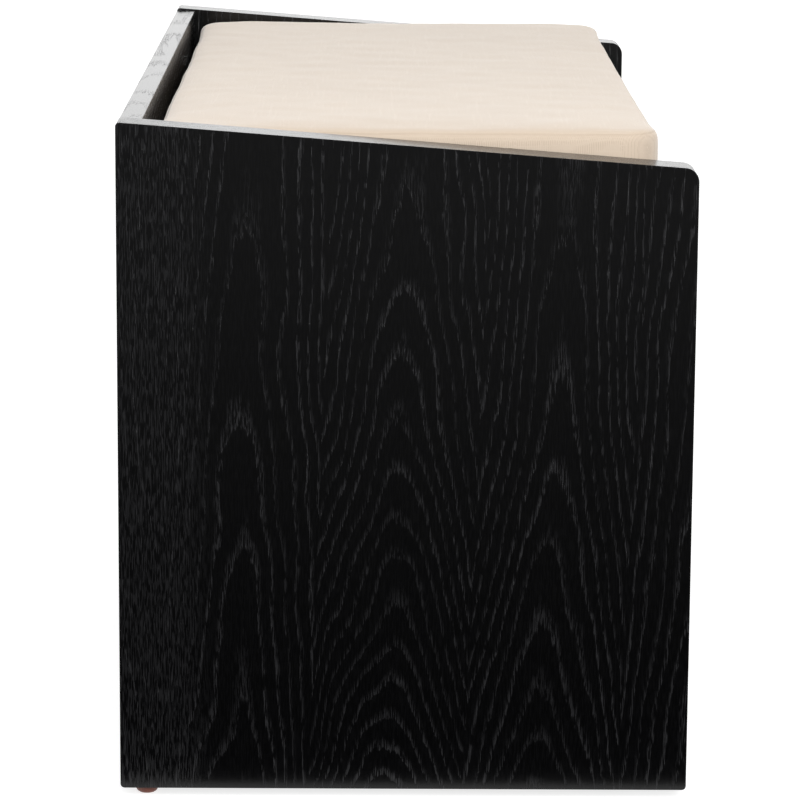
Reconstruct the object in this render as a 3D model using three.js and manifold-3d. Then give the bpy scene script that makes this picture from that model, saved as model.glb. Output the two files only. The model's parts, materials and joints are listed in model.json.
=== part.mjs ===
// A two-drawer storage bench: two thick end panels with sloping tops, a back board that stands above
// the seat, a loose box cushion, two drawers under the seat and two open cubbies below them.
// Millimetres. +X runs along the bench, the front faces -Y, +Z is up, and the origin is on the floor
// under the middle of the bench.

import * as THREE from "three";
import { mergeVertices } from "three/addons/utils/BufferGeometryUtils.js";
import Module from "manifold-3d";

// ---------------------------------------------------------------- driving dimensions
const LENGTH = 850;
const DEPTH = 400;
const HEIGHT = 480; // at the rear edge of an end panel
const FRONT_DROP = 30; // how much lower an end panel is at its front edge
const END_THICKNESS = 30;
const BOARD = 16;
const GLIDE_HEIGHT = 7;
const GAP = 0.3; // hairline between two pieces that touch
const PAST = 1; // how far a cutter runs past the face that it opens

const END_FRONT_TOP_RADIUS = 10;
const END_SMALL_RADIUS = 3;
const BACK_BOARD_DROP = 2.5; // the back board's top is this much lower than the end panels'

const FRONT_RECESS = 12; // boards and drawer fronts stand this far behind the end panels' edges
const PLINTH_RECESS = 32;
const CUBBY_DIVIDER_RECESS = 17;

const SEAT_TOP = 418;
const DRAWER_BAY_HEIGHT = 148;
const CUBBY_HEIGHT = 170;

const CUSHION_THICKNESS = 53;
const CUSHION_FRONT_RECESS = 27;
const CUSHION_REAR_GAP = 6;
const CUSHION_END_GAP = 3;
const CUSHION_CORNER_RADIUS = 28;
const CUSHION_EDGE_RADIUS = 7;
const COVER_THICKNESS = 1.5;
const ZIP_LENGTH = 600;
const ZIP_OPENING = 5; // height of the slit that the zip closes

const GLIDE_RADIUS = 8;
const GLIDE_FLAT_RADIUS = 4;
const GLIDE_SKIRT = 3; // straight height above the dome
const GLIDE_REAR_INSET = 18; // glide centre from an end panel's rear edge
const GLIDE_PLINTH_INSET = 20; // glide centre from the end of the plinth rail
const GLIDE_DOME_STEPS = 4;
const NAIL_RADIUS = 1.2;
const NAIL_LENGTH = 16;
const NAIL_TIP_LENGTH = 3;

const DRAWER_REVEAL = 2.5; // gap round a drawer front
const DRAWER_SIDE = 12;
const DRAWER_SIDE_HEIGHT = 118;
const DRAWER_SIDE_LIFT = 8; // drawer side above the shelf under it
const DRAWER_BOX_LENGTH = 330;
const DRAWER_BOTTOM = 5;
const DRAWER_BOTTOM_LIFT = 6; // drawer bottom above the sides' lower edges
const DRAWER_BOTTOM_SETBACK = 1; // drawer bottom's rear edge before the sides' rear ends
const GROOVE_DEPTH = 6;
const GROOVE_PLAY = 0.4;
const PULL_WIDTH = 110;
const PULL_DEPTH = 24;
const PULL_RADIUS = 20;
const PULL_LIP_RADIUS = 5;

const SLIDE_LENGTH = 300;
const SLIDE_WIDTH = 12.7; // between the cabinet side and the drawer side
const SLIDE_METAL = 1.2;
const SLIDE_SETBACK = 2; // slide's front end behind the drawer front
// A slide's three channels, sized across from the cabinet side: where the web stands and how far the
// flanges reach. The outer one is screwed to the cabinet, the inner one to the drawer, and the middle
// one runs between them.
const SLIDE_MEMBERS = {
  outer: { web: GAP, lip: 9.2, halfHeight: 17.5, length: SLIDE_LENGTH },
  middle: { web: 3, lip: 10.4, halfHeight: 14.2, length: 292 },
  inner: { web: SLIDE_WIDTH - GAP, lip: 6, halfHeight: 10.9, length: SLIDE_LENGTH },
};

const CAM_RADIUS = 7.4;
const CAM_HEIGHT = 12.2;
const CAM_INSET = 34; // cam centre from the end of its board
const CAM_BORE_PLAY = 0.4;
const CAM_CROSS_LENGTH = 8;
const CAM_CROSS_WIDTH = 1.6;
const CAM_CROSS_DEPTH = 2;
const CAM_SLOT_WIDTH = 7.4;
const CAM_SLOT_START = 2; // the slot for the bolt starts this far beyond the cam's centre
const BOLT_STEM_RADIUS = 2.5;
const BOLT_HEAD_RADIUS = 3.3;
const BOLT_HEAD_LENGTH = 4;
const BOLT_HEAD_OFFSET = 0.5; // head's middle from the cam's centre, towards the end panel
const BOLT_CHAMFER = 1;
const BOLT_THREAD_RADIUS = 3.2;
const BOLT_THREAD_LENGTH = 11;
const BOLT_SHOULDER = 0.6; // length of the cone from the stem up to the thread
const BOLT_BORE_RADIUS = 4;
const DOWEL_RADIUS = 4;
const DOWEL_LENGTH = 30;
const BORE_PLAY = 0.3;
const FASTENER_FRONT_Y = -120;
const FASTENER_REAR_Y = 110;

const ROUND_SIDES = 24;
const SMALL_ROUND_SIDES = 12;
const ARC_STEPS = 6; // straight steps in each rounded corner
const CUSHION_EDGE_STEPS = 2;
const MERGE_DISTANCE = 1e-4;

// ---------------------------------------------------------------- places worked out from them
const END_OUTER_X = LENGTH / 2;
const END_INNER_X = END_OUTER_X - END_THICKNESS;
const FRONT_Y = -DEPTH / 2;
const REAR_Y = DEPTH / 2;
const BOARD_FRONT_Y = FRONT_Y + FRONT_RECESS;
const BACK_INNER_Y = REAR_Y - BOARD;
const SEAT_UNDER = SEAT_TOP - BOARD;
const MID_SHELF_TOP = SEAT_UNDER - DRAWER_BAY_HEIGHT;
const MID_SHELF_UNDER = MID_SHELF_TOP - BOARD;
const BOTTOM_TOP = MID_SHELF_UNDER - CUBBY_HEIGHT;
const BOTTOM_UNDER = BOTTOM_TOP - BOARD;
const DIVIDER_HALF = BOARD / 2;
const FASTENER_ROWS = { front: FASTENER_FRONT_Y, rear: FASTENER_REAR_Y };
const ENDS = { left: -1, right: 1 };

const bench = new THREE.Group();

// ---------------------------------------------------------------- materials
const finish = (color, roughness, metalness = 0) =>
  new THREE.MeshStandardMaterial({ color, roughness, metalness });
const blackVeneer = finish(0x16161a, 0.45);
const blackMelamine = finish(0x1c1c1f, 0.55);
const linen = finish(0xe3dacd, 0.95);
const foam = finish(0xf2e6bf, 0.9);
const brownPlastic = finish(0x6b2f1c, 0.5);
const zincSteel = finish(0xb9bcc0, 0.35, 1);
const beech = finish(0xc79b6a, 0.7);

// ---------------------------------------------------------------- shaping helpers
const wasm = await Module();
wasm.setup();

// A closed geometry as a manifold solid, so that it can be cut.
function solidOf(geometry) {
  const bare = geometry.index ? geometry.toNonIndexed() : geometry.clone();
  bare.deleteAttribute("normal");
  bare.deleteAttribute("uv");
  const merged = mergeVertices(bare, MERGE_DISTANCE);
  return new wasm.Manifold(
    new wasm.Mesh({
      numProp: 3,
      vertProperties: merged.attributes.position.array,
      triVerts: new Uint32Array(merged.index.array),
    }),
  );
}

function geometryOf(solid) {
  const { vertProperties, triVerts } = solid.getMesh();
  const geometry = new THREE.BufferGeometry()
    .setAttribute("position", new THREE.BufferAttribute(vertProperties, 3))
    .setIndex(new THREE.BufferAttribute(triVerts, 1));
  geometry.computeVertexNormals();
  return geometry;
}

function cut(geometry, cutters) {
  return geometryOf(
    cutters.reduce(
      (solid, cutter) => solid.subtract(solidOf(cutter)),
      solidOf(geometry),
    ),
  );
}

// Two numbers, lowest first.
const span = (a, b) => [Math.min(a, b), Math.max(a, b)];

function box([x0, x1], [y0, y1], [z0, z1]) {
  return new THREE.BoxGeometry(x1 - x0, y1 - y0, z1 - z0).translate(
    (x0 + x1) / 2,
    (y0 + y1) / 2,
    (z0 + z1) / 2,
  );
}

// A closed outline through corners [a, b, radius], each corner rounded by an arc.
function roundedOutline(corners) {
  const shape = new THREE.Shape();
  const points = corners.map(([a, b]) => new THREE.Vector2(a, b));
  const direction = (from, to) => to.clone().sub(from).normalize();
  shape.moveTo(points[0].x, points[0].y);
  corners.forEach(([, , radius], i) => {
    const here = points[i];
    if (!radius) {
      shape.lineTo(here.x, here.y);
      return;
    }
    const before = direction(here, points.at(i - 1));
    const after = direction(here, points[(i + 1) % points.length]);
    const half = before.angleTo(after) / 2;
    const centre = before.clone().add(after).setLength(radius / Math.sin(half)).add(here);
    const reach = radius / Math.tan(half);
    const start = here.clone().addScaledVector(before, reach).sub(centre);
    const end = here.clone().addScaledVector(after, reach).sub(centre);
    const clockwise = before.cross(after) > 0;
    shape.absarc(centre.x, centre.y, radius, start.angle(), end.angle(), clockwise);
  });
  return shape;
}

// Turns an extrusion's own axes (outline a, outline b, depth) into bench axes without rounding.
const ALONG = {
  x: new THREE.Matrix4().set(0, 0, 1, 0, 1, 0, 0, 0, 0, 1, 0, 0, 0, 0, 0, 1),
  y: new THREE.Matrix4().set(1, 0, 0, 0, 0, 0, -1, 0, 0, 1, 0, 0, 0, 0, 0, 1),
  z: new THREE.Matrix4(),
};

// An outline extruded along an axis from `from` to `to`. Outlines are (Y, Z) for x, (X, Z) for y and
// (X, Y) for z.
function extrude(shape, axis, from, to) {
  const geometry = new THREE.ExtrudeGeometry(shape, {
    depth: to - from,
    bevelEnabled: false,
    curveSegments: ARC_STEPS,
  });
  geometry.translate(0, 0, axis === "y" ? -to : from);
  return geometry.applyMatrix4(ALONG[axis]);
}

function rod(axis, radius, from, to, [a, b], sides = ROUND_SIDES) {
  const geometry = new THREE.CylinderGeometry(radius, radius, to - from, sides);
  geometry.translate(0, (from + to) / 2, 0);
  if (axis === "x") return geometry.rotateZ(-Math.PI / 2).translate(0, a, b);
  return geometry.rotateX(Math.PI / 2).translate(a, b, 0);
}

function add(name, geometry, material, parent = bench) {
  const mesh = new THREE.Mesh(geometry, material);
  mesh.name = name;
  parent.add(mesh);
  return mesh;
}

// ---------------------------------------------------------------- fasteners
// Every use of a fastener as [end name, end sign, row name, y].
const fastenerPlaces = () =>
  Object.entries(ENDS).flatMap(([end, side]) =>
    Object.entries(FASTENER_ROWS).map(([row, y]) => [end, side, row, y]),
  );

// Cam discs sit in the underside of a board; their bolts run in from the end panel along X.
function camBores(under) {
  const z = under + BOARD / 2;
  return fastenerPlaces().flatMap(([, side, , y]) => {
    const cam = side * (END_INNER_X - CAM_INSET);
    const outer = side * (END_INNER_X + PAST);
    return [
      rod("z", CAM_RADIUS + CAM_BORE_PLAY, under - PAST, under + CAM_HEIGHT + CAM_BORE_PLAY, [cam, y]),
      rod("x", BOLT_BORE_RADIUS, ...span(cam, outer), [y, z], SMALL_ROUND_SIDES),
    ];
  });
}

function camDisc(side, x, y, under) {
  const z = under + BOARD / 2;
  const slotTop = z + CAM_SLOT_WIDTH / 2;
  const slotUnder = z - CAM_SLOT_WIDTH / 2;
  const towardsEnd = span(x - side * CAM_SLOT_START, x + side * (CAM_RADIUS + PAST));
  const arm = CAM_CROSS_LENGTH / 2;
  const half = CAM_CROSS_WIDTH / 2;
  const crossDepth = [under - PAST, under + CAM_CROSS_DEPTH];
  return cut(rod("z", CAM_RADIUS, under + CAM_BORE_PLAY, under + CAM_HEIGHT, [x, y]), [
    box(towardsEnd, [y - CAM_SLOT_WIDTH / 2, y + CAM_SLOT_WIDTH / 2], [slotUnder, slotTop]),
    box([x - arm, x + arm], [y - half, y + half], crossDepth),
    box([x - half, x + half], [y - arm, y + arm], crossDepth),
  ]);
}

function camBolt(side, x, y, z) {
  const face = END_INNER_X - Math.abs(x); // from the cam's centre to the end panel's face
  const profile = [
    [0, -BOLT_HEAD_LENGTH / 2],
    [BOLT_HEAD_RADIUS, -BOLT_HEAD_LENGTH / 2],
    [BOLT_HEAD_RADIUS, BOLT_HEAD_LENGTH / 2 - BOLT_CHAMFER],
    [BOLT_STEM_RADIUS, BOLT_HEAD_LENGTH / 2],
    [BOLT_STEM_RADIUS, face],
    [BOLT_THREAD_RADIUS, face + BOLT_SHOULDER],
    [BOLT_THREAD_RADIUS, face + BOLT_THREAD_LENGTH - BOLT_CHAMFER],
    [0, face + BOLT_THREAD_LENGTH],
  ].map(([r, h]) => new THREE.Vector2(r, h));
  return new THREE.LatheGeometry(profile, SMALL_ROUND_SIDES)
    .rotateZ((-side * Math.PI) / 2)
    .translate(x + side * BOLT_HEAD_OFFSET, y, z);
}

function addCamJoint(boardName, under) {
  for (const [end, side, row, y] of fastenerPlaces()) {
    const x = side * (END_INNER_X - CAM_INSET);
    add(`${boardName}_cam_${end}_${row}`, camDisc(side, x, y, under), zincSteel);
    add(`${boardName}_cam_bolt_${end}_${row}`, camBolt(side, x, y, under + BOARD / 2), zincSteel);
  }
}

const dowelRod = (side, y, z, play = 0) => {
  const reach = DOWEL_LENGTH / 2 + play;
  const [from, to] = [side * END_INNER_X - reach, side * END_INNER_X + reach];
  return rod("x", DOWEL_RADIUS + play, from, to, [y, z], SMALL_ROUND_SIDES);
};

const dowelHeight = MID_SHELF_UNDER + BOARD / 2;

function addShelfDowels() {
  for (const [end, side, row, y] of fastenerPlaces()) {
    add(`shelf_dowel_${end}_${row}`, dowelRod(side, y, dowelHeight), beech);
  }
}

// ---------------------------------------------------------------- glides
function glide() {
  const dome = [];
  for (let i = 0; i <= GLIDE_DOME_STEPS; i++) {
    const angle = (i / GLIDE_DOME_STEPS) * (Math.PI / 2);
    dome.push([
      GLIDE_FLAT_RADIUS + (GLIDE_RADIUS - GLIDE_FLAT_RADIUS) * Math.sin(angle),
      (GLIDE_HEIGHT - GLIDE_SKIRT) * (1 - Math.cos(angle)),
    ]);
  }
  const top = GLIDE_HEIGHT - GAP;
  const profile = [
    [0, 0],
    ...dome,
    [GLIDE_RADIUS, top],
    [NAIL_RADIUS, top],
    [NAIL_RADIUS, GLIDE_HEIGHT + NAIL_LENGTH - NAIL_TIP_LENGTH],
    [0, GLIDE_HEIGHT + NAIL_LENGTH],
  ].map(([r, z]) => new THREE.Vector2(r, z));
  return new THREE.LatheGeometry(profile, ROUND_SIDES).rotateX(Math.PI / 2);
}

const REAR_GLIDE_X = END_OUTER_X - END_THICKNESS / 2;
const REAR_GLIDE_Y = REAR_Y - GLIDE_REAR_INSET;
const PLINTH_MID_Y = FRONT_Y + PLINTH_RECESS + BOARD / 2;
const PLINTH_GLIDE_X = END_INNER_X - GLIDE_PLINTH_INSET;

const GLIDES = {
  glide_rear_left: [-REAR_GLIDE_X, REAR_GLIDE_Y],
  glide_rear_right: [REAR_GLIDE_X, REAR_GLIDE_Y],
  glide_front_left: [-PLINTH_GLIDE_X, PLINTH_MID_Y],
  glide_front_centre: [0, PLINTH_MID_Y],
  glide_front_right: [PLINTH_GLIDE_X, PLINTH_MID_Y],
};

const nailBore = (place) =>
  rod(
    "z",
    NAIL_RADIUS + BORE_PLAY,
    GLIDE_HEIGHT - PAST,
    GLIDE_HEIGHT + NAIL_LENGTH + PAST,
    place,
    SMALL_ROUND_SIDES,
  );

function addGlides() {
  for (const [name, [x, y]] of Object.entries(GLIDES)) {
    add(name, glide(), brownPlastic).position.set(x, y, 0);
  }
}

// ---------------------------------------------------------------- carcass
function endPanel(side) {
  const outline = roundedOutline([
    [FRONT_Y, GLIDE_HEIGHT, END_SMALL_RADIUS],
    [REAR_Y, GLIDE_HEIGHT, END_SMALL_RADIUS],
    [REAR_Y, HEIGHT, END_SMALL_RADIUS],
    [FRONT_Y, HEIGHT - FRONT_DROP, END_FRONT_TOP_RADIUS],
  ]);
  const faces = span(side * END_INNER_X, side * END_OUTER_X);
  const bolts = [SEAT_UNDER, BOTTOM_UNDER].flatMap((under) =>
    Object.values(FASTENER_ROWS).map((y) => {
      const reach = END_INNER_X + BOLT_THREAD_LENGTH + PAST;
      const [from, to] = span(side * (END_INNER_X - PAST), side * reach);
      const place = [y, under + BOARD / 2];
      return rod("x", BOLT_THREAD_RADIUS + BORE_PLAY, from, to, place, SMALL_ROUND_SIDES);
    }),
  );
  const dowels = Object.values(FASTENER_ROWS).map((y) =>
    dowelRod(side, y, dowelHeight, BORE_PLAY),
  );
  const nail = nailBore([side * REAR_GLIDE_X, REAR_GLIDE_Y]);
  return cut(extrude(outline, "x", ...faces), [...bolts, ...dowels, nail]);
}

const fullWidth = [-END_INNER_X + GAP, END_INNER_X - GAP];
const boardDepth = [BOARD_FRONT_Y, BACK_INNER_Y - GAP];

function addCarcass() {
  add("end_panel_left", endPanel(-1), blackVeneer);
  add("end_panel_right", endPanel(1), blackVeneer);
  add(
    "back_board",
    box(fullWidth, [BACK_INNER_Y, REAR_Y], [GLIDE_HEIGHT, HEIGHT - BACK_BOARD_DROP]),
    blackVeneer,
  );
  const seat = box(fullWidth, boardDepth, [SEAT_UNDER, SEAT_TOP]);
  add("seat_board", cut(seat, camBores(SEAT_UNDER)), blackVeneer);
  const shelf = box(fullWidth, boardDepth, [MID_SHELF_UNDER, MID_SHELF_TOP]);
  const dowelBores = fastenerPlaces().map(([, side, , y]) =>
    dowelRod(side, y, dowelHeight, BORE_PLAY),
  );
  add("mid_shelf", cut(shelf, dowelBores), blackVeneer);
  const bottom = box(fullWidth, boardDepth, [BOTTOM_UNDER, BOTTOM_TOP]);
  add("bottom_board", cut(bottom, camBores(BOTTOM_UNDER)), blackVeneer);
  add(
    "drawer_divider",
    box(
      [-DIVIDER_HALF, DIVIDER_HALF],
      boardDepth,
      [MID_SHELF_TOP + GAP, SEAT_UNDER - GAP],
    ),
    blackVeneer,
  );
  add(
    "cubby_divider",
    box(
      [-DIVIDER_HALF, DIVIDER_HALF],
      [FRONT_Y + CUBBY_DIVIDER_RECESS, BACK_INNER_Y - GAP],
      [BOTTOM_TOP + GAP, MID_SHELF_UNDER - GAP],
    ),
    blackVeneer,
  );
  const plinth = box(
    fullWidth,
    [PLINTH_MID_Y - BOARD / 2, PLINTH_MID_Y + BOARD / 2],
    [GLIDE_HEIGHT, BOTTOM_UNDER - GAP],
  );
  const plinthNails = Object.values(GLIDES)
    .filter(([, y]) => y === PLINTH_MID_Y)
    .map(nailBore);
  add("plinth_rail", cut(plinth, plinthNails), blackVeneer);
}

// ---------------------------------------------------------------- drawers
// A drawer is built round X = 0 and placed by its group. Its bay runs from the divider to an end panel.
const BAY_HALF = (END_INNER_X - DIVIDER_HALF) / 2;
const BAY_MID_X = (END_INNER_X + DIVIDER_HALF) / 2;
const BOX_HALF = BAY_HALF - SLIDE_WIDTH;
const DRAWER_FRONT_INNER_Y = BOARD_FRONT_Y + BOARD;
const BOX_FRONT_Y = DRAWER_FRONT_INNER_Y + GAP;
const BOX_REAR_Y = BOX_FRONT_Y + DRAWER_BOX_LENGTH;
const SIDE_UNDER = MID_SHELF_TOP + DRAWER_SIDE_LIFT;
const SIDE_TOP = SIDE_UNDER + DRAWER_SIDE_HEIGHT;
const PANEL_UNDER = SIDE_UNDER + DRAWER_BOTTOM_LIFT;
const PANEL_TOP = PANEL_UNDER + DRAWER_BOTTOM;
const grooveHeight = [PANEL_UNDER - GROOVE_PLAY, PANEL_TOP + GROOVE_PLAY];

function drawerFront() {
  const half = BAY_HALF - DRAWER_REVEAL;
  const under = MID_SHELF_TOP + DRAWER_REVEAL;
  const top = SEAT_UNDER - DRAWER_REVEAL;
  const pull = PULL_WIDTH / 2;
  const outline = roundedOutline([
    [-half, under, 0],
    [half, under, 0],
    [half, top, 0],
    [pull, top, PULL_LIP_RADIUS],
    [pull - PULL_RADIUS / 2, top - PULL_DEPTH, PULL_RADIUS / 2],
    [PULL_RADIUS / 2 - pull, top - PULL_DEPTH, PULL_RADIUS / 2],
    [-pull, top, PULL_LIP_RADIUS],
    [-half, top, 0],
  ]);
  const grooveHalf = BOX_HALF - DRAWER_SIDE + GROOVE_DEPTH;
  return cut(extrude(outline, "y", BOARD_FRONT_Y, DRAWER_FRONT_INNER_Y), [
    box(
      [-grooveHalf, grooveHalf],
      [DRAWER_FRONT_INNER_Y - GROOVE_DEPTH, DRAWER_FRONT_INNER_Y + PAST],
      grooveHeight,
    ),
  ]);
}

function drawerSide(side) {
  const outer = side * BOX_HALF;
  const inner = side * (BOX_HALF - DRAWER_SIDE);
  const grooved = side * (BOX_HALF - DRAWER_SIDE + GROOVE_DEPTH);
  return cut(box(span(inner, outer), [BOX_FRONT_Y, BOX_REAR_Y], [SIDE_UNDER, SIDE_TOP]), [
    box(span(inner - side, grooved), [BOX_FRONT_Y - PAST, BOX_REAR_Y + PAST], grooveHeight),
  ]);
}

// One channel of a slide, extruded from its end view.
function slideChannel(side, { web, lip, halfHeight, length }) {
  const towardsLip = Math.sign(lip - web);
  const webInner = web + towardsLip * SLIDE_METAL;
  const across = (u) => side * (BAY_HALF - u);
  const z = SIDE_UNDER + DRAWER_SIDE_HEIGHT / 2;
  const inside = halfHeight - SLIDE_METAL;
  const section = roundedOutline([
    [across(web), z - halfHeight, 0],
    [across(lip), z - halfHeight, 0],
    [across(lip), z - inside, 0],
    [across(webInner), z - inside, 0],
    [across(webInner), z + inside, 0],
    [across(lip), z + inside, 0],
    [across(lip), z + halfHeight, 0],
    [across(web), z + halfHeight, 0],
  ]);
  const front = BOX_FRONT_Y + SLIDE_SETBACK;
  return extrude(section, "y", front, front + length);
}

function addDrawer(hand, bayX) {
  const drawer = new THREE.Group();
  drawer.position.x = bayX;
  bench.add(drawer);
  const put = (piece, geometry, material) =>
    add(`${hand}_drawer_${piece}`, geometry, material, drawer);
  const insideHalf = BOX_HALF - DRAWER_SIDE;
  const panelHalf = insideHalf + GROOVE_DEPTH - GROOVE_PLAY;
  put("front", drawerFront(), blackVeneer);
  put("left_side", drawerSide(-1), blackMelamine);
  put("right_side", drawerSide(1), blackMelamine);
  put(
    "back",
    box(
      [-insideHalf + GAP, insideHalf - GAP],
      [BOX_REAR_Y - DRAWER_SIDE, BOX_REAR_Y],
      [PANEL_TOP + GROOVE_PLAY, SIDE_TOP],
    ),
    blackMelamine,
  );
  put(
    "bottom",
    box(
      [-panelHalf, panelHalf],
      [DRAWER_FRONT_INNER_Y - GROOVE_DEPTH + GROOVE_PLAY, BOX_REAR_Y - DRAWER_BOTTOM_SETBACK],
      [PANEL_UNDER, PANEL_TOP],
    ),
    blackMelamine,
  );
  for (const [sideName, side] of Object.entries(ENDS)) {
    for (const [member, sizes] of Object.entries(SLIDE_MEMBERS)) {
      put(`${sideName}_slide_${member}`, slideChannel(side, sizes), zincSteel);
    }
  }
}

// ---------------------------------------------------------------- cushion
// The cushion's rounded block, drawn in by `inset` on every side.
function cushionBlock(inset) {
  const edge = CUSHION_EDGE_RADIUS - inset;
  const halfLength = END_INNER_X - CUSHION_END_GAP - CUSHION_EDGE_RADIUS;
  const front = FRONT_Y + CUSHION_FRONT_RECESS + CUSHION_EDGE_RADIUS;
  const rear = CUSHION_REAR_Y - CUSHION_EDGE_RADIUS;
  const radius = CUSHION_CORNER_RADIUS - CUSHION_EDGE_RADIUS;
  const outline = roundedOutline([
    [-halfLength, front, radius],
    [halfLength, front, radius],
    [halfLength, rear, radius],
    [-halfLength, rear, radius],
  ]);
  return new THREE.ExtrudeGeometry(outline, {
    depth: CUSHION_THICKNESS - 2 * CUSHION_EDGE_RADIUS,
    curveSegments: ARC_STEPS,
    bevelEnabled: true,
    bevelThickness: edge,
    bevelSize: edge,
    bevelSegments: CUSHION_EDGE_STEPS,
  }).translate(0, 0, SEAT_TOP + GAP + CUSHION_EDGE_RADIUS);
}

const CUSHION_REAR_Y = BACK_INNER_Y - CUSHION_REAR_GAP;
const ZIP_MID_Z = SEAT_TOP + GAP + CUSHION_THICKNESS / 2;

// The strip of the rear side that the zip fills, drawn in by `inset` along its length and height.
function zipStrip(inset, [from, to]) {
  const half = ZIP_LENGTH / 2 - inset;
  const halfHeight = ZIP_OPENING / 2 - inset;
  return box([-half, half], [from, to], [ZIP_MID_Z - halfHeight, ZIP_MID_Z + halfHeight]);
}

function addCushion() {
  const inside = CUSHION_REAR_Y - COVER_THICKNESS;
  const slit = zipStrip(0, [inside - PAST, CUSHION_REAR_Y + PAST]);
  add("cushion_cover", cut(cushionBlock(0), [cushionBlock(COVER_THICKNESS), slit]), linen);
  add("cushion_foam", cushionBlock(COVER_THICKNESS + GAP), foam);
  add("cushion_zip", zipStrip(GAP, [inside, CUSHION_REAR_Y]), linen);
}

// ---------------------------------------------------------------- the bench
addCarcass();
addGlides();
addCamJoint("seat", SEAT_UNDER);
addCamJoint("bottom", BOTTOM_UNDER);
addShelfDowels();
addDrawer("left", -BAY_MID_X);
addDrawer("right", BAY_MID_X);
addCushion();

export default bench;
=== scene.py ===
import json
import math

import bmesh
import bpy
from mathutils import Matrix, Vector, noise
from mathutils.bvhtree import BVHTree


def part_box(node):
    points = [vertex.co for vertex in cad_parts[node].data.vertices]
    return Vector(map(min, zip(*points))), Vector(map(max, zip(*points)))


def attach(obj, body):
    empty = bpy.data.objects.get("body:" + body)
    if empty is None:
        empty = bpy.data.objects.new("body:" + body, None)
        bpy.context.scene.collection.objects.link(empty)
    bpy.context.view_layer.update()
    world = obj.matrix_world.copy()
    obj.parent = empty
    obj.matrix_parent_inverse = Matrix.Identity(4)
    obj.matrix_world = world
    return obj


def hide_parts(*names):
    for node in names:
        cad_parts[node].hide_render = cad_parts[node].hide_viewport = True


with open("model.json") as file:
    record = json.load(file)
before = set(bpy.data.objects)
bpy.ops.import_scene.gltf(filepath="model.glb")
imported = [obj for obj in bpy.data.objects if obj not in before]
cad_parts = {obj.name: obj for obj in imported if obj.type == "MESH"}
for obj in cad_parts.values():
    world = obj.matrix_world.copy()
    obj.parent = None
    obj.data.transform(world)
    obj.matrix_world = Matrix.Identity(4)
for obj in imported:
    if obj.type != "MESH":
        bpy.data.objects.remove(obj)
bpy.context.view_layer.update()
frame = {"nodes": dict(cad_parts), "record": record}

MM = 0.001

# ------------------------------------------------------------------ places read from the frame
panel_low, panel_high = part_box("end_panel_left")
back_low, back_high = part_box("back_board")
cover_low, cover_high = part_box("cushion_cover")
zip_low, zip_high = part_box("cushion_zip")
BENCH_HEIGHT = panel_high.z
BACK_BOARD = back_high.y - back_low.y


# ------------------------------------------------------------------ camera
CAMERA_PLACE = Vector((-2.96963, 0.02467, 0.801))
CAMERA_RIGHT = Vector((-0.0067003, -0.9999558, 0.0066609))
CAMERA_UP = Vector((0.19777, 0.0052043, 0.980234))
CAMERA_LENS = 168.617
SENSOR_WIDTH = 36
FARTHEST_SEEN = 50


def add_camera():
    """A long lens beyond the left end panel, looking along the bench and a little down."""
    camera = bpy.data.objects.new("camera", bpy.data.cameras.new("camera"))
    bpy.context.collection.objects.link(camera)
    camera.data.sensor_width = SENSOR_WIDTH
    camera.data.lens = CAMERA_LENS
    back = CAMERA_RIGHT.cross(CAMERA_UP)
    turn = Matrix((CAMERA_RIGHT, CAMERA_UP, back)).transposed().to_4x4()
    camera.matrix_world = Matrix.Translation(CAMERA_PLACE) @ turn
    camera.data.clip_end = FARTHEST_SEEN
    bpy.context.scene.camera = camera


# ------------------------------------------------------------------ node helpers
class Nodes:
    """A node tree with short calls for the nodes that the finishes use."""

    def __init__(self, tree):
        self.tree = tree

    def new(self, kind, inputs=None, **settings):
        node = self.tree.nodes.new(kind)
        for name, value in settings.items():
            setattr(node, name, value)
        for name, value in (inputs or {}).items():
            self.feed(node.inputs[name], value)
        return node

    def feed(self, socket, value):
        if isinstance(value, bpy.types.NodeSocket):
            self.tree.links.new(value, socket)
        else:
            socket.default_value = value

    def math(self, operation, a, b=0.0, c=0.0):
        return self.new("ShaderNodeMath", {0: a, 1: b, 2: c}, operation=operation).outputs[0]

    def noise(self, vector, scale, detail=2.0, roughness=0.5):
        settings = {"Vector": vector, "Scale": scale, "Detail": detail, "Roughness": roughness}
        return self.new("ShaderNodeTexNoise", settings).outputs["Fac"]

    def stretch(self, vector, scale):
        node = self.new("ShaderNodeMapping", {"Vector": vector})
        node.inputs["Scale"].default_value = scale
        return node.outputs[0]

    def ramp(self, value, low, high, to_low=0.0, to_high=1.0):
        """Smooth step of value from low to high, put out between to_low and to_high."""
        node = self.new("ShaderNodeMapRange", interpolation_type="SMOOTHSTEP")
        for name, number in zip(("Value", "From Min", "From Max", "To Min", "To Max"),
                                (value, low, high, to_low, to_high)):
            self.feed(node.inputs[name], number)
        return node.outputs[0]

    def mix(self, factor, a, b):
        node = self.new("ShaderNodeMix", data_type="RGBA")
        for index, value in ((0, factor), (6, a), (7, b)):
            self.feed(node.inputs[index], value)
        return node.outputs[2]

    def group(self, tree, **inputs):
        node = self.new("ShaderNodeGroup", node_tree=tree)
        for name, value in inputs.items():
            self.feed(node.inputs[name.replace("_", " ")], value)
        return node


def make_group(name, inputs, outputs):
    """An empty shader group with (name, type, default) inputs and named outputs."""
    tree = bpy.data.node_groups.new(name, "ShaderNodeTree")
    for label, kind, default in inputs:
        socket = tree.interface.new_socket(label, in_out="INPUT", socket_type=f"NodeSocket{kind}")
        if default is not None:
            socket.default_value = default
    for label in outputs:
        tree.interface.new_socket(label, in_out="OUTPUT", socket_type="NodeSocketFloat")
    nodes = Nodes(tree)
    return nodes, nodes.new("NodeGroupInput").outputs, nodes.new("NodeGroupOutput").inputs


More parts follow.
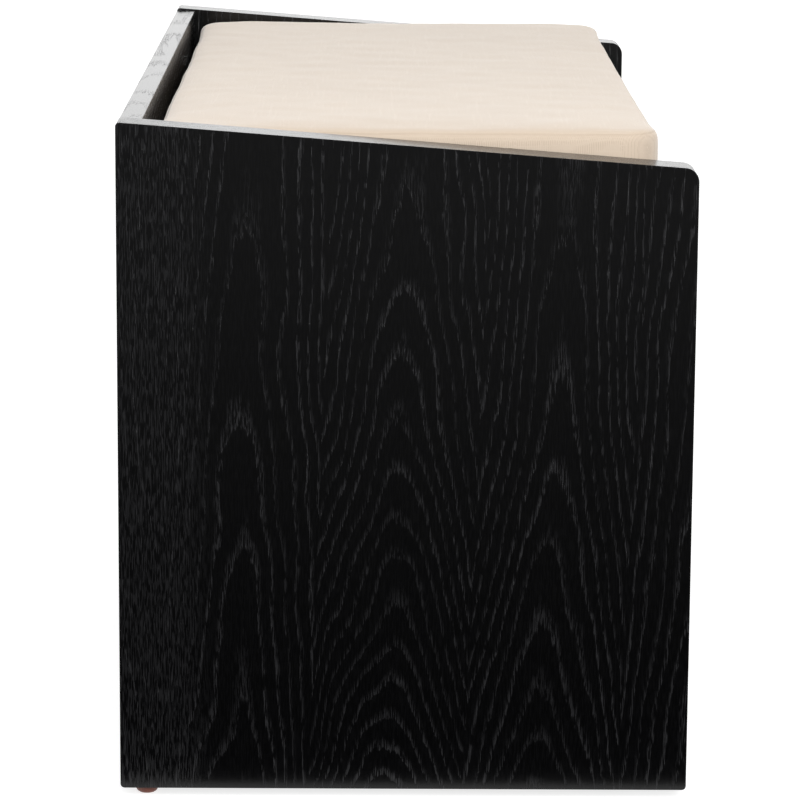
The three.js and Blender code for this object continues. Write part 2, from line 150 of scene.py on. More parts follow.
def new_material(name, **principled):
    material = bpy.data.materials.new(name)
    material.use_nodes = True
    nodes = Nodes(material.node_tree)
    shader = material.node_tree.nodes["Principled BSDF"]
    for socket, value in principled.items():
        nodes.feed(shader.inputs[socket.replace("_", " ")], value)
    place = nodes.new("ShaderNodeTexCoord").outputs["Object"]
    return material, nodes, shader, place


def bump(nodes, shader, height, strength, distance):
    node = nodes.new("ShaderNodeBump", {"Height": height, "Strength": strength, "Distance": distance})
    nodes.tree.links.new(node.outputs[0], shader.inputs["Normal"])


# ------------------------------------------------------------------ shared effects
# All in metres, except the climbs.
LEAF_WIDTH = 0.109
RING_SPACING = 0.0068
CROWN_HEIGHT = 0.48  # where on the board the leaves' figure starts
# Three leaves follow one another across a board: how deep the heart lies under each, how fast the
# rings climb at the crown, and how much faster they climb a metre further down.
LEAF_FIGURES = ((0.022, 0.0, 0.45), (0.024, 0.06, 0.52), (0.028, 0.035, 0.10))
LEAF_PHASES = (0.88, 0.88, 0.2)  # which part of a ring each leaf's heart starts with
# How far each layer of unevenness moves a ring line, in metres, from the broadest to the finest.
SWAY, UNEVENNESS, WAVER, FRINGE = 0.013, 0.006, 0.0017, 0.0008
EARLY_WOOD = (0.42, 0.02)  # the part of a ring over which its pores grow denser
LATE_WOOD = (0.94, 1.0)
STRAY_PORES = 0.08  # how dense the pores are between the ring lines


def grain_group():
    """Crown-cut veneer in leaves. The vector is (across, through, along) the grain, in metres."""
    nodes, given, out = make_group(
        "crown_cut_grain",
        [("Vector", "Vector", None), ("Leaf Start", "Float", 0.0), ("Lean", "Float", 0.0),
         ("Growth", "Float", 1.0), ("Evenness", "Float", 0.0)],
        ["Rings", "Pores", "Tone"],
    )
    vector = given["Vector"]
    wobble = nodes.noise(nodes.stretch(vector, (14, 14, 5)), 1.0, 2.0)
    split = nodes.new("ShaderNodeSeparateXYZ", {0: vector})
    across, through, along = split.outputs
    below = nodes.math("SUBTRACT", CROWN_HEIGHT, along)
    upright = nodes.math("SUBTRACT", across, nodes.math("MULTIPLY", below, given["Lean"]))
    leaf_place = nodes.math("DIVIDE", nodes.math("SUBTRACT", upright, given["Leaf Start"]),
                            LEAF_WIDTH)
    leaf = nodes.math("FLOOR", leaf_place)
    kind = nodes.math("FLOORED_MODULO", leaf, 3.0)
    second = nodes.math("COMPARE", kind, 1.0, 0.5)
    third = nodes.math("COMPARE", kind, 2.0, 0.5)

    def own(first_value, second_value, third_value):
        """The value that belongs to this leaf's figure."""
        value = nodes.math("MULTIPLY_ADD", second, second_value - first_value, first_value)
        return nodes.math("MULTIPLY_ADD", third, third_value - first_value, value)

    def moved(value, by, reach):
        """The value, moved either way by up to reach as the noise called by says."""
        return nodes.math("ADD", value, nodes.math("MULTIPLY_ADD", by, 2 * reach, -reach))

    heart_depth, climb, growth = (own(*values) for values in zip(*LEAF_FIGURES))
    from_heart = nodes.math("MULTIPLY", nodes.math("SUBTRACT", nodes.math("FRACT", leaf_place), 0.5),
                            LEAF_WIDTH)
    swayed = moved(from_heart, wobble, SWAY)
    depth = nodes.math("ADD", through, heart_depth)
    reach = nodes.math("SQRT", nodes.math("ADD", nodes.math("MULTIPLY", swayed, swayed),
                                          nodes.math("MULTIPLY", depth, depth)))
    faster = nodes.math("MULTIPLY", nodes.math("MULTIPLY", growth, given["Growth"]), below)
    steepness = nodes.math("MULTIPLY_ADD", faster, 0.5, climb)
    radius = nodes.math("SUBTRACT", reach, nodes.math("MULTIPLY", steepness, below))
    uneven = nodes.noise(nodes.stretch(vector, (24, 24, 9)), 1.0, 1.0)
    radius = moved(radius, uneven, UNEVENNESS)
    fine = nodes.noise(nodes.stretch(vector, (190, 190, 17)), 1.0, 2.0)
    radius = moved(radius, fine, WAVER)
    fringe = nodes.noise(nodes.stretch(vector, (900, 900, 40)), 1.0, 1.0)
    radius = moved(radius, fringe, FRINGE)
    ring_place = nodes.math("ADD", nodes.math("DIVIDE", radius, RING_SPACING), own(*LEAF_PHASES))
    ring = nodes.math("FRACT", ring_place)
    strength = nodes.new("ShaderNodeTexWhiteNoise", {"W": nodes.math("FLOOR", ring_place)},
                         noise_dimensions="1D").outputs["Value"]
    early = nodes.ramp(ring, *EARLY_WOOD)
    late = nodes.ramp(ring, *LATE_WOOD)
    rings = nodes.math("MULTIPLY", nodes.math("MAXIMUM", early, late),
                       nodes.math("MULTIPLY_ADD", strength, 0.5, 0.5))
    dashes = nodes.noise(nodes.stretch(vector, (1300, 1300, 100)), 1.0, 1.0)
    long_dashes = nodes.noise(nodes.stretch(vector, (1150, 1150, 36)), 1.0, 1.0)
    dash = nodes.math("MAXIMUM", nodes.ramp(dashes, 0.49, 0.6), nodes.ramp(long_dashes, 0.56, 0.66))
    spread = nodes.math("MULTIPLY_ADD", given["Evenness"], 0.42, STRAY_PORES)
    held = nodes.math("MAXIMUM", rings, spread)
    nodes.feed(out["Rings"], rings)
    nodes.feed(out["Pores"], nodes.math("MULTIPLY", dash, held))
    nodes.feed(out["Tone"], nodes.noise(nodes.stretch(vector, (9, 9, 2.5)), 1.0, 3.0))
    return nodes.tree


def wear_group():
    """Where a finish is rubbed thin: specks gathered along edges."""
    nodes, given, out = make_group(
        "edge_wear", [("Vector", "Vector", None), ("Edge Width", "Float", 0.0015)], ["Edges", "Specks"])
    bevel = nodes.new("ShaderNodeBevel", {"Radius": given["Edge Width"]}, samples=4)
    flat = nodes.new("ShaderNodeNewGeometry").outputs["Normal"]
    facing = nodes.new("ShaderNodeVectorMath", {0: bevel.outputs[0], 1: flat}, operation="DOT_PRODUCT")
    patchy = nodes.ramp(nodes.noise(given["Vector"], 90.0, 4.0, 0.6), 0.42, 0.7)
    edges = nodes.ramp(facing.outputs["Value"], 0.995, 0.86)
    nodes.feed(out["Edges"], nodes.math("MULTIPLY", edges, patchy))
    nodes.feed(out["Specks"], nodes.ramp(nodes.noise(given["Vector"], 700.0, 2.0), 0.66, 0.74))
    return nodes.tree


def weave_group():
    """Plain weave with slubs. The vector's first two axes run along the threads, in metres."""
    nodes, given, out = make_group(
        "plain_weave", [("Vector", "Vector", None), ("Threads", "Float", 1300.0)],
        ["Height", "Slubs", "Tone"])
    vector = given["Vector"]
    drift = nodes.noise(vector, 160.0, 2.0)
    split = nodes.new("ShaderNodeSeparateXYZ", {0: vector})

    def thread(axis):
        phase = nodes.math("MULTIPLY", split.outputs[axis], given["Threads"])
        swayed = nodes.math("ADD", nodes.math("MULTIPLY", phase, math.pi),
                            nodes.math("MULTIPLY", drift, 2.2))
        return nodes.math("SINE", swayed)

    crossing = nodes.math("MULTIPLY", thread(0), thread(1))
    warp_slub = nodes.noise(nodes.stretch(vector, (18, 650, 650)), 1.0, 2.0)
    weft_slub = nodes.noise(nodes.stretch(vector, (650, 18, 650)), 1.0, 2.0)
    slubs = nodes.math("MAXIMUM", nodes.ramp(warp_slub, 0.55, 0.78), nodes.ramp(weft_slub, 0.58, 0.8))
    nodes.feed(out["Slubs"], slubs)
    nodes.feed(out["Height"], nodes.math("MULTIPLY_ADD", slubs, 0.6,
                                         nodes.math("MULTIPLY_ADD", crossing, 0.5, 0.5)))
    nodes.feed(out["Tone"], nodes.noise(vector, 11.0, 3.0))
    return nodes.tree


GRAIN, WEAR, WEAVE = grain_group(), wear_group(), weave_group()

# Which bench axis runs (across, through, along) the grain of a board.
GRAIN_UPRIGHT = ("Y", "X", "Z")
GRAIN_LENGTHWAYS_FLAT = ("Y", "Z", "X")
GRAIN_LENGTHWAYS_STANDING = ("Z", "Y", "X")


# ------------------------------------------------------------------ finishes
VENEER_GLOSS = 0.36
VENEER_ROUGHNESS = (0.2, 0.38)  # between and in the pores
PORE_DEPTH = 0.22 * MM
EDGE_FACING = 0.6  # a face turned this far towards an axis is an edge strip on that axis


def grain_coordinates(nodes, place, axes, strip_place):
    """(across, through, along) the grain; an edge strip's own grain runs along its edge."""
    split = nodes.new("ShaderNodeSeparateXYZ", {0: place}).outputs
    facing = nodes.new("ShaderNodeTexCoord").outputs["Normal"]
    turned = nodes.new("ShaderNodeSeparateXYZ", {0: facing}).outputs
    across, through, along = (split["XYZ".index(axis)] for axis in axes)
    side_edge, _face, end_edge = (
        nodes.math("GREATER_THAN", nodes.math("ABSOLUTE", turned["XYZ".index(axis)]), EDGE_FACING)
        for axis in axes)
    face_way = nodes.new("ShaderNodeCombineXYZ", {0: across, 1: through, 2: along}).outputs[0]
    strip = nodes.math("ADD", through, strip_place)
    side_way = nodes.new("ShaderNodeCombineXYZ", {0: strip, 1: 0.0, 2: along}).outputs[0]
    end_way = nodes.new("ShaderNodeCombineXYZ", {0: strip, 1: 0.0, 2: across}).outputs[0]
    for factor, way in ((side_edge, side_way), (end_edge, end_way)):
        node = nodes.new("ShaderNodeMix", data_type="VECTOR")
        for index, value in ((0, factor), (4, face_way), (5, way)):
            nodes.feed(node.inputs[index], value)
        face_way = node.outputs[1]
    return face_way


def black_veneer(name, axes, centre=(0, 0, 0), strip_place=0.03, evenness=None, **figure):
    """Black-stained open-pore veneer; the lacquer catches light in the pores."""
    material, nodes, shader, place = new_material(name, Specular_IOR_Level=VENEER_GLOSS)
    centred = nodes.new("ShaderNodeVectorMath", {0: place, 1: centre}, operation="SUBTRACT").outputs[0]
    grain = nodes.group(GRAIN, Vector=grain_coordinates(nodes, centred, axes, strip_place), **figure)
    if evenness:
        nodes.feed(grain.inputs["Evenness"], evenness(nodes, place))
    wear = nodes.group(WEAR, Vector=place)
    stain = nodes.mix(grain.outputs["Tone"], (0.0001, 0.0001, 0.0002, 1), (0.0007, 0.0007, 0.0009, 1))
    ringed = nodes.mix(nodes.math("MULTIPLY", grain.outputs["Rings"], 0.25), stain,
                       (0.003, 0.003, 0.0034, 1))
    pored = nodes.mix(grain.outputs["Pores"], ringed, (0.016, 0.016, 0.0175, 1))
    nodes.feed(shader.inputs["Base Color"],
               nodes.mix(nodes.math("MULTIPLY", wear.outputs["Edges"], 0.5), pored,
                         (0.045, 0.043, 0.041, 1)))
    nodes.feed(shader.inputs["Roughness"],
               nodes.ramp(grain.outputs["Pores"], 0.0, 1.0, *VENEER_ROUGHNESS))
    bump(nodes, shader, nodes.math("MULTIPLY", grain.outputs["Pores"], -1.0), 0.3, PORE_DEPTH)
    return material


def black_melamine():
    material, nodes, shader, place = new_material("black_melamine", Specular_IOR_Level=0.3)
    wear = nodes.group(WEAR, Vector=place)
    tone = nodes.noise(place, 14.0, 3.0)
    pitted = nodes.noise(place, 2400.0, 1.0)
    board = nodes.mix(tone, (0.010, 0.010, 0.011, 1), (0.016, 0.016, 0.017, 1))
    nodes.feed(shader.inputs["Base Color"], nodes.mix(wear.outputs["Edges"], board, (0.07, 0.06, 0.05, 1)))
    nodes.feed(shader.inputs["Roughness"], nodes.ramp(tone, 0.3, 0.7, 0.5, 0.62))
    bump(nodes, shader, pitted, 0.2, 0.06 * MM)
    return material


def linen():
    """Natural linen: tan threads with a pale fuzz that shows at low angles."""
    material, nodes, shader, place = new_material(
        "linen", Roughness=0.92, Specular_IOR_Level=0.25, Sheen_Weight=0.36, Sheen_Roughness=0.45,
        Sheen_Tint=(0.93, 0.97, 1.0, 1))
    weave = nodes.group(WEAVE, Vector=place)
    cloth = nodes.mix(weave.outputs["Tone"], (0.575, 0.47, 0.372, 1), (0.625, 0.52, 0.415, 1))
    slubbed = nodes.mix(nodes.math("MULTIPLY", weave.outputs["Slubs"], 0.22), cloth,
                        (0.66, 0.57, 0.48, 1))
    # Painted shade: the hollows between the threads are darkened in the colour.
    hollow_shade = nodes.ramp(weave.outputs["Height"], 0.0, 0.5, 0.35, 0.0)
    shaded_weave = nodes.mix(hollow_shade, slubbed, (0.40, 0.30, 0.21, 1))
    seam = nodes.new("ShaderNodeAttribute", attribute_name="seam").outputs["Fac"]
    # Painted shade along the seams: the cloth is darkened in a line where it turns in; the same mask also
    # sinks a groove in the bump.
    seam_groove_and_shade = nodes.ramp(seam, 0.72, 0.97)
    nodes.feed(shader.inputs["Base Color"],
               nodes.mix(nodes.math("MULTIPLY", seam_groove_and_shade, 0.15), shaded_weave, (0.34, 0.25, 0.17, 1)))
    facing = nodes.new("ShaderNodeTexCoord").outputs["Normal"]
    level = nodes.math("ABSOLUTE", nodes.new("ShaderNodeSeparateXYZ", {0: facing}).outputs["Z"])
    folds = nodes.noise(nodes.stretch(place, (7, 7, 110)), 1.0, 2.0, 0.55)
    creases = nodes.math("MULTIPLY", folds, nodes.ramp(level, 0.6, 0.25))
    relief = nodes.math("MULTIPLY_ADD", nodes.math("SUBTRACT", creases, seam_groove_and_shade), 3.0,
                        weave.outputs["Height"])
    bump(nodes, shader, relief, 0.4, 0.22 * MM)
    return material


def zip_tape():
    """Polyester tape: a tight herringbone, a little darker than the linen."""
    material, nodes, shader, place = new_material("zip_tape", Roughness=0.75, Specular_IOR_Level=0.3)
    split = nodes.new("ShaderNodeSeparateXYZ", {0: place}).outputs
    rows = nodes.math("PINGPONG", split["Z"], 2.5 * MM)
    twill = nodes.math("SINE", nodes.math("MULTIPLY", nodes.math("ADD", split["X"], rows), 5200.0))
    shade = nodes.ramp(twill, -1.0, 1.0)
    nodes.feed(shader.inputs["Base Color"],
               nodes.mix(shade, (0.36, 0.29, 0.22, 1), (0.52, 0.43, 0.34, 1)))
    bump(nodes, shader, shade, 0.4, 0.12 * MM)
    return material


def zip_coil():
    material, nodes, shader, place = new_material("zip_coil", Specular_IOR_Level=0.5)
    cloud = nodes.noise(place, 400.0, 2.0)
    nodes.feed(shader.inputs["Base Color"],
               nodes.mix(cloud, (0.50, 0.42, 0.33, 1), (0.62, 0.53, 0.43, 1)))
    nodes.feed(shader.inputs["Roughness"], nodes.ramp(cloud, 0.3, 0.7, 0.32, 0.5))
    bump(nodes, shader, nodes.noise(place, 2600.0, 1.0), 0.2, 0.05 * MM)
    return material


def zinc_steel():
    material, nodes, shader, place = new_material("zinc_steel", Metallic=1.0)
    drawn = nodes.noise(nodes.stretch(place, (900, 30, 900)), 1.0, 3.0)
    cloud = nodes.noise(place, 120.0, 3.0)
    nodes.feed(shader.inputs["Base Color"], nodes.mix(cloud, (0.42, 0.44, 0.47, 1), (0.62, 0.63, 0.64, 1)))
    nodes.feed(shader.inputs["Roughness"], nodes.ramp(drawn, 0.3, 0.7, 0.26, 0.44))
    bump(nodes, shader, drawn, 0.15, 0.05 * MM)
    return material


def brown_plastic():
    material, nodes, shader, place = new_material("brown_plastic", Specular_IOR_Level=0.5)
    wear = nodes.group(WEAR, Vector=place, Edge_Width=0.001)
    mottle = nodes.noise(place, 260.0, 3.0)
    plastic = nodes.mix(mottle, (0.10, 0.022, 0.010, 1), (0.15, 0.034, 0.015, 1))
    nodes.feed(shader.inputs["Base Color"],
               nodes.mix(wear.outputs["Specks"], plastic, (0.22, 0.09, 0.05, 1)))
    nodes.feed(shader.inputs["Roughness"], nodes.ramp(mottle, 0.3, 0.7, 0.35, 0.55))
    bump(nodes, shader, nodes.noise(place, 1500.0, 2.0), 0.2, 0.08 * MM)
    return material


def beech():
    material, nodes, shader, place = new_material("beech", Roughness=0.7)
    flecks = nodes.noise(nodes.stretch(place, (120, 1400, 1400)), 1.0, 2.0)
    nodes.feed(shader.inputs["Base Color"],
               nodes.mix(nodes.ramp(flecks, 0.45, 0.7), (0.57, 0.36, 0.19, 1), (0.38, 0.20, 0.09, 1)))
    bump(nodes, shader, flecks, 0.2, 0.1 * MM)
    return material


# ------------------------------------------------------------------ the wooden carcass
BOARD_ARRIS, PLAIN_ARRIS = 0.7 * MM, 0.4 * MM  # veneered boards, drawer boxes
ARRIS_ANGLE = math.radians(40)
WELD_DISTANCE = 0.01 * MM


def ease_edges(node, width):
    """Sanded arrises on a board, by modifiers over the node's own mesh."""
    piece = frame["nodes"][node]
    weld = piece.modifiers.new("weld", "WELD")
    weld.merge_threshold = WELD_DISTANCE
    bevel = piece.modifiers.new("eased", "BEVEL")
    bevel.width = width
    bevel.segments = 2
    bevel.limit_method = "ANGLE"
    bevel.angle_limit = ARRIS_ANGLE
    bevel.use_clamp_overlap = True


def finish_node(node, material):
    piece = frame["nodes"][node]
    piece.data.materials.clear()
    piece.data.materials.append(material)


REAR_STRIP = (0.070, 0.042)  # how far before the rear edge it starts, and is full


def rear_strip(nodes, place):
    """Where the left end's rear leaf shows pores all over instead of in rings."""
    along_depth = nodes.new("ShaderNodeSeparateXYZ", {0: place}).outputs["Y"]
    starts, full = (panel_high.y - before for before in REAR_STRIP)
    return nodes.ramp(along_depth, starts, full)


def finish_carcass(metal, melamine, plastic, dowel):
    half_leaf = LEAF_WIDTH / 2
    left = black_veneer("veneer_left_end", GRAIN_UPRIGHT, (panel_low.x, 0, 0), evenness=rear_strip,
                        Leaf_Start=-0.113 - half_leaf, Lean=0.035)
    right = black_veneer("veneer_right_end", GRAIN_UPRIGHT, (-panel_low.x, 0, 0),
                         Leaf_Start=-half_leaf, Lean=-0.02)
    flat = black_veneer("veneer_flat_boards", GRAIN_LENGTHWAYS_FLAT,
                        Leaf_Start=0.02, Growth=0.3)
    standing = black_veneer("veneer_standing_boards", GRAIN_LENGTHWAYS_STANDING,
                            (0, back_high.y, 0), strip_place=0.01 + half_leaf + BACK_BOARD / 2,
                            Leaf_Start=0.01, Growth=0.25)
    divider = black_veneer("veneer_dividers", GRAIN_UPRIGHT, Leaf_Start=0.0)
    veneered = {
        "end_panel_left": left, "end_panel_right": right, "back_board": standing,
        "seat_board": flat, "mid_shelf": flat, "bottom_board": flat, "plinth_rail": standing,
        "drawer_divider": divider, "cubby_divider": divider,
        "left_drawer_front": standing, "right_drawer_front": standing,
    }
    by_slot = {"black_melamine": melamine, "zinc_steel": metal,
               "brown_plastic": plastic, "beech": dowel}
    slots = {row["node"]: row["material_slot"] for row in frame["record"]["subparts"]}
    for node, material in veneered.items():
        finish_node(node, material)
        ease_edges(node, BOARD_ARRIS)
    for node, slot in slots.items():
        if slot in by_slot:
            finish_node(node, by_slot[slot])
        if slot == "black_melamine":
            ease_edges(node, PLAIN_ARRIS)


# ------------------------------------------------------------------ the cushion
CUSHION_SHRINK = 2.5 * MM  # the pad starts this much smaller, because it swells
REAR_CORNER_RADIUS = 38 * MM
FRONT_CORNER_RADIUS = 30 * MM
GRID_STEP = 8 * MM
BOXING_STEPS = 7  # rows of cloth between the top and the bottom seam
SWELL_CAP = 7 * MM
SIM_FRAMES = 20
CLOTH_PRESSURE = 4
CLOTH_STIFFNESS = 18
FRONT_PROUD = 3 * MM  # how far the pad's front stands before the cover's plain block
CROWN = 1.5 * MM
TOP_SWELL = 0.4  # share of the swelling above the top seam that is left in
# How far the top stands above the cover's plain block at its (left, right) ends.
TOP_LIFT_FRONT = (0.5 * MM, -2.3 * MM)
TOP_LIFT_REAR = (0.5 * MM, -1.5 * MM)
SOFT_RIM = 2.6 * MM  # how far the seams are drawn in
ZIP_STEPS = 150
ZIP_PITCH = 3 * MM
ZIP_TAPE_WIDTH = 24 * MM
ZIP_PROUD = 0.5 * MM
ZIP_SLIDER_INSET = 12 * MM
TOOTH_SIZE = (ZIP_PITCH * 0.45, 1.1 * MM, 2.6 * MM)
TOOTH_OFFSET = 0.7 * MM  # a row's distance from the zip's middle line
SLIDER_SIZE = (9 * MM, 2.6 * MM, 7 * MM)
PULL_SIZE = (4 * MM, 0.8 * MM, 22 * MM)
PULL_DROP = 10 * MM
UNDERSIDE_BULGE = 3 * MM  # what bulges less than this below the pad is pressed flat
SEAM_CREASE = 0.25
SEAM_ANGLE = 1  # radians; the pad's panels meet at a sharper turn than this
REAR_WAVE, REAR_WAVES = 1.6 * MM, 11  # how far the rear side wanders, and how often in a metre
REAR_WAVE_START = 0.8  # the share of the depth behind which it wanders
TOP_WAVE, TOP_WAVES = 0.7 * MM, 38


def place_mesh(name, mesh_maker, material):
    """A piece at the origin whose mesh is made in place by mesh_maker(bm)."""
    mesh = bpy.data.meshes.new(name)
    bm = bmesh.new()
    mesh_maker(bm)
    bmesh.ops.recalc_face_normals(bm, faces=bm.faces)
    bm.to_mesh(mesh)
    bm.free()
    mesh.materials.append(material)
    piece = bpy.data.objects.new(name, mesh)
    bpy.context.collection.objects.link(piece)
    return piece


def round_corner(point, middle, half):
    """Moves a grid point near a corner so that the grid's outline turns on an arc."""
    radius = REAR_CORNER_RADIUS if point.y > middle.y else FRONT_CORNER_RADIUS
    signs = Vector((1 if point.x > middle.x else -1, 1 if point.y > middle.y else -1))
    past = [(abs(point[i] - middle[i]) - half[i] + radius) / radius for i in range(2)]
    if min(past) <= 0:
        return
    turned = (past[0] * math.sqrt(1 - past[1] ** 2 / 2), past[1] * math.sqrt(1 - past[0] ** 2 / 2))
    for i in range(2):
        point[i] = middle[i] + signs[i] * (half[i] - radius + radius * turned[i])


def pad_block(bm):
    """The pad before it swells: two panels on a regular grid, joined by a boxing strip."""
    size = cover_high - cover_low - Vector((1, 1, 1)) * 2 * CUSHION_SHRINK
    middle = (cover_low + cover_high) / 2
    across, deep = (round(size[i] / GRID_STEP) for i in range(2))
    bmesh.ops.create_grid(bm, x_segments=across, y_segments=deep, size=0.5)
    bmesh.ops.scale(bm, vec=(size.x, size.y, 1), verts=bm.verts)
    bmesh.ops.translate(bm, vec=middle - Vector((0, 0, size.z / 2)), verts=bm.verts)
    for vertex in bm.verts:
        round_corner(vertex.co, middle, size / 2)
    grown = bmesh.ops.extrude_face_region(bm, geom=bm.faces[:])
    raised = [item for item in grown["geom"] if isinstance(item, bmesh.types.BMVert)]
    bmesh.ops.translate(bm, vec=(0, 0, size.z), verts=raised)
    upright = [e for e in bm.edges if abs(e.verts[0].co.z - e.verts[1].co.z) > size.z / 2]
    bmesh.ops.subdivide_edges(bm, edges=upright, cuts=BOXING_STEPS - 1, use_grid_fill=True)
    seam = bm.verts.layers.float.new("seam")
    crease = bm.edges.layers.float.new("crease_edge")
    bmesh.ops.recalc_face_normals(bm, faces=bm.faces)
    bm.normal_update()
    for edge in bm.edges:
        if edge.calc_face_angle() > SEAM_ANGLE:
            edge[crease] = SEAM_CREASE
            for vertex in edge.verts:
                vertex[seam] = 1


def run_modifier(piece, name):
    with bpy.context.temp_override(object=piece, active_object=piece,
                                   selected_objects=[piece], selected_editable_objects=[piece]):
        bpy.ops.object.modifier_apply(modifier=name)


def swell(piece):
    """Cloth under pressure, with each point's movement capped."""
    scene = bpy.context.scene
    start = [v.co.copy() for v in piece.data.vertices]
    cloth = piece.modifiers.new("cloth", "CLOTH")
    cloth.settings.use_pressure = True
    cloth.settings.uniform_pressure_force = CLOTH_PRESSURE
    cloth.settings.effector_weights.gravity = 0
    cloth.settings.tension_stiffness = CLOTH_STIFFNESS
    cloth.settings.compression_stiffness = CLOTH_STIFFNESS
    for step in range(1, SIM_FRAMES + 1):
        scene.frame_set(step)
    run_modifier(piece, cloth.name)
    scene.frame_set(1)
    for vertex, before in zip(piece.data.vertices, start):
        move = vertex.co - before
        if move.length > SWELL_CAP:
            vertex.co = before + move.normalized() * SWELL_CAP


def settle(piece):
    """Fits the pad to the space between the boards, with its underside flat on the seat board."""
    points = piece.data.vertices
    middle_z = (cover_low.z + cover_high.z) / 2
    on_seam = piece.data.attributes["seam"].data
    rim = [v.co.z for v, mark in zip(points, on_seam) if mark.value and v.co.z > middle_z]
    rim_z = sum(rim) / len(rim)
    for vertex in points:
        if vertex.co.z > rim_z:
            vertex.co.z = rim_z + (vertex.co.z - rim_z) * TOP_SWELL
    low_target = cover_low - Vector((0, FRONT_PROUD, 0))
    high_target = cover_high + Vector((0, 0, CROWN))
    for axis in range(3):
        low = min(v.co[axis] for v in points)
        high = max(v.co[axis] for v in points)
        stretch = (high_target[axis] - low_target[axis]) / (high - low)
        for vertex in points:
            vertex.co[axis] = low_target[axis] + (vertex.co[axis] - low) * stretch
    underside = cover_low.z + UNDERSIDE_BULGE
    for vertex in points:
        if vertex.co.z < underside:
            vertex.co.z = cover_low.z


def sit_in(piece):
    """A used pad: its top isn't level, its seams are drawn in and its rear side wanders."""
    size = cover_high - cover_low
    seam = piece.data.attributes["seam"].data
    normals = [vertex.normal.copy() for vertex in piece.data.vertices]
    for vertex, on_seam, normal in zip(piece.data.vertices, seam, normals):
        point = vertex.co
        right, back, up = ((point[i] - cover_low[i]) / size[i] for i in range(3))
        point -= normal * on_seam.value * SOFT_RIM
        front_lift, rear_lift = (
            left_end + (right_end - left_end) * right
            for left_end, right_end in (TOP_LIFT_FRONT, TOP_LIFT_REAR))
        small = noise.noise(Vector((point.x * TOP_WAVES, point.y * TOP_WAVES, 9.1)))
        point.z += up * (front_lift + (rear_lift - front_lift) * back + small * TOP_WAVE)
        sway = noise.noise(Vector((point.x * REAR_WAVES, point.y * REAR_WAVES, 3.7)))
        behind = max(0.0, back - REAR_WAVE_START) / (1 - REAR_WAVE_START)
        point.y += up * behind * (sway * REAR_WAVE - REAR_WAVE / 2)


def zip_parts(pad):
    """The zip in the rear side: its tape follows the pad, with two rows of teeth and a slider."""
    surface = BVHTree.FromObject(pad, bpy.context.evaluated_depsgraph_get())
    middle_z = (zip_low.z + zip_high.z) / 2
    half_length = (zip_high.x - zip_low.x) / 2

    def rear_y(x):
        hit = surface.ray_cast(Vector((x, back_high.y, middle_z)), Vector((0, -1, 0)))[0]
        return hit.y if hit else cover_high.y

    def tape(bm):
        bmesh.ops.create_grid(bm, x_segments=ZIP_STEPS, y_segments=2, size=0.5)
        bmesh.ops.rotate(bm, matrix=Matrix.Rotation(math.pi / 2, 3, "X"), verts=bm.verts)
        for vertex in bm.verts:
            point = vertex.co
            point.x *= 2 * half_length
            fold = abs(point.z) * 2
            point.z = middle_z + point.z * ZIP_TAPE_WIDTH
            point.y = rear_y(point.x) + ZIP_PROUD * (1 - fold * 0.7)
        grown = bmesh.ops.extrude_face_region(bm, geom=bm.faces[:])
        raised = [item for item in grown["geom"] if isinstance(item, bmesh.types.BMVert)]
        bmesh.ops.translate(bm, vec=(0, -2 * ZIP_PROUD, 0), verts=raised)

    def tooth(bm, x, side):
        made = bmesh.ops.create_cube(bm, size=1)["verts"]
        bmesh.ops.scale(bm, vec=TOOTH_SIZE, verts=made)
        place = (x, rear_y(x) + ZIP_PROUD + 0.2 * MM, middle_z + side * TOOTH_OFFSET)
        bmesh.ops.translate(bm, vec=place, verts=made)

    def teeth(bm):
        count = int(2 * half_length / ZIP_PITCH)
        for i in range(count):
            x = -half_length + (i + 0.5) * ZIP_PITCH
            for side in (-1, 1):
                tooth(bm, x + side * ZIP_PITCH / 4, side)

    def slider(bm):
        x = half_length - ZIP_SLIDER_INSET
        body = bmesh.ops.create_cube(bm, size=1)["verts"]
        bmesh.ops.scale(bm, vec=SLIDER_SIZE, verts=body)
        bmesh.ops.translate(bm, vec=(x, rear_y(x) + ZIP_PROUD + 0.9 * MM, middle_z), verts=body)
        pull = bmesh.ops.create_cube(bm, size=1)["verts"]
        bmesh.ops.scale(bm, vec=PULL_SIZE, verts=pull)
        hang = (x, rear_y(x) + ZIP_PROUD + SLIDER_SIZE[1], middle_z - PULL_DROP)
        bmesh.ops.translate(bm, vec=hang, verts=pull)
        bmesh.ops.bevel(bm, geom=bm.edges[:], offset=0.35 * MM, offset_type="OFFSET", segments=2,
                        profile=0.5, affect="EDGES", material=-1, clamp_overlap=True)

    return tape, teeth, slider


def add_cushion(cloth, tape_cloth, coil, metal):
    pad = place_mesh("cushion_pad", pad_block, cloth)
    swell(pad)
    settle(pad)
    sit_in(pad)
    finer = pad.modifiers.new("finer", "SUBSURF")
    finer.levels = finer.render_levels = 1
    pad.data.polygons.foreach_set("use_smooth", [True] * len(pad.data.polygons))
    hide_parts("cushion_cover", "cushion_foam")
    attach(pad, "cushion")
    tape, teeth, slider = zip_parts(pad)
    makers = (("zip_tape", tape, tape_cloth, "linen"), ("zip_teeth", teeth, coil, "linen"),
              ("zip_slider", slider, metal, "zinc_steel"))
    for name, maker, material, slot in makers:
        piece = place_mesh(name, maker, material)
        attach(piece, "cushion")
        if name == "zip_tape":
            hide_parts("cushion_zip")


# ------------------------------------------------------------------ studio
FLOOR_SIZE = 12.0
FLOOR_BEFORE_END = 0.035  # the floor stops this far before the left end panel
KEY_PLACE = Vector((-3.0, -0.6, 1.9))
KEY_SIZE = 1.8
KEY_POWER = 118
FLOOR_GLOW = 0.78
# How bright the surroundings are beyond the bench, overhead, elsewhere, and on the floor before it.
BACKDROP, DOME, DIM, NEAR_FLOOR = 1.58, 0.3, 0.05, 0.24
# Where each of them starts and is full, as parts of a direction one metre long.
BACKDROP_SIDE, HORIZON, DOME_RISE, NEAR_FLOOR_RISE = (0.0, 0.6), (-0.05, 0.05), (0.2, 0.8), (-0.25, -0.13)


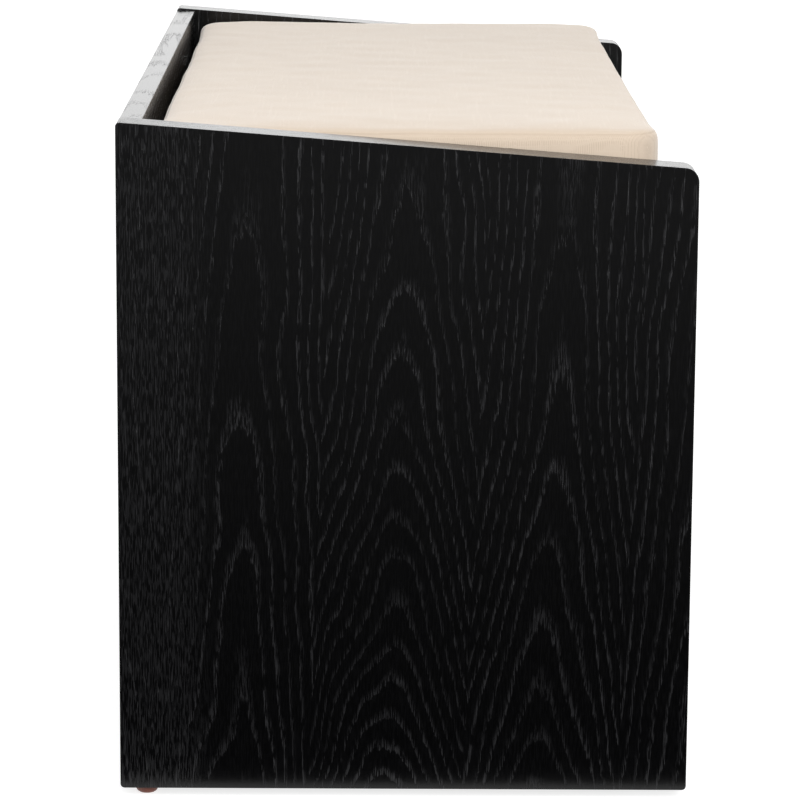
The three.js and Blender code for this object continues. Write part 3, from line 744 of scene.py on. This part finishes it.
def add_key_light():
    """A large softbox high beyond the left end."""
    data = bpy.data.lights.new("key", "AREA")
    data.shape = "SQUARE"
    data.size = KEY_SIZE
    data.energy = KEY_POWER
    key = bpy.data.objects.new("key", data)
    bpy.context.collection.objects.link(key)
    aim = Vector((0, 0, BENCH_HEIGHT)) - KEY_PLACE
    key.matrix_world = Matrix.Translation(KEY_PLACE) @ aim.to_track_quat("-Z", "Y").to_matrix().to_4x4()


def floor_mesh(bm):
    bmesh.ops.create_grid(bm, x_segments=1, y_segments=1, size=FLOOR_SIZE / 2)
    shift = panel_low.x - FLOOR_BEFORE_END + FLOOR_SIZE / 2
    bmesh.ops.translate(bm, vec=(shift, 0, 0), verts=bm.verts)


def add_studio():
    """A pale floor in a white studio: bright beyond the bench and overhead, dim before it."""
    material, _nodes, _shader, _place = new_material(
        "pale_floor", Base_Color=(0.4, 0.4, 0.4, 1), Roughness=0.9,
        Emission_Color=(1, 1, 1, 1), Emission_Strength=FLOOR_GLOW)
    place_mesh("floor", floor_mesh, material)
    world = bpy.data.worlds.new("studio")
    bpy.context.scene.world = world
    world.use_nodes = True
    nodes = Nodes(world.node_tree)
    surround = world.node_tree.nodes["Background"]
    way = nodes.new("ShaderNodeSeparateXYZ", {0: nodes.new("ShaderNodeTexCoord").outputs["Generated"]})
    backdrop = nodes.math("MULTIPLY", nodes.ramp(way.outputs["X"], *BACKDROP_SIDE, 0.0, BACKDROP),
                          nodes.ramp(way.outputs["Z"], *HORIZON))
    dome = nodes.ramp(way.outputs["Z"], *DOME_RISE, DIM, DOME)
    near_floor = nodes.ramp(way.outputs["Z"], *NEAR_FLOOR_RISE, -DIM, NEAR_FLOOR)
    lower_half = nodes.math("LESS_THAN", way.outputs["Z"], 0.0)
    seen = nodes.new("ShaderNodeLightPath").outputs["Is Camera Ray"]
    light = nodes.math("ADD", nodes.math("ADD", backdrop, dome),
                       nodes.math("MULTIPLY", near_floor, lower_half))
    kept = nodes.math("MULTIPLY", light, nodes.math("SUBTRACT", 1.0, seen))
    surround.inputs["Color"].default_value = (1, 1, 1, 1)
    nodes.feed(surround.inputs["Strength"], nodes.math("ADD", kept, seen))
    view = bpy.context.scene.view_settings
    view.view_transform = "Standard"
    view.look = "None"


# ------------------------------------------------------------------ the bench
add_camera()
add_studio()
add_key_light()
steel = zinc_steel()
finish_carcass(steel, black_melamine(), brown_plastic(), beech())
add_cushion(linen(), zip_tape(), zip_coil(), steel)
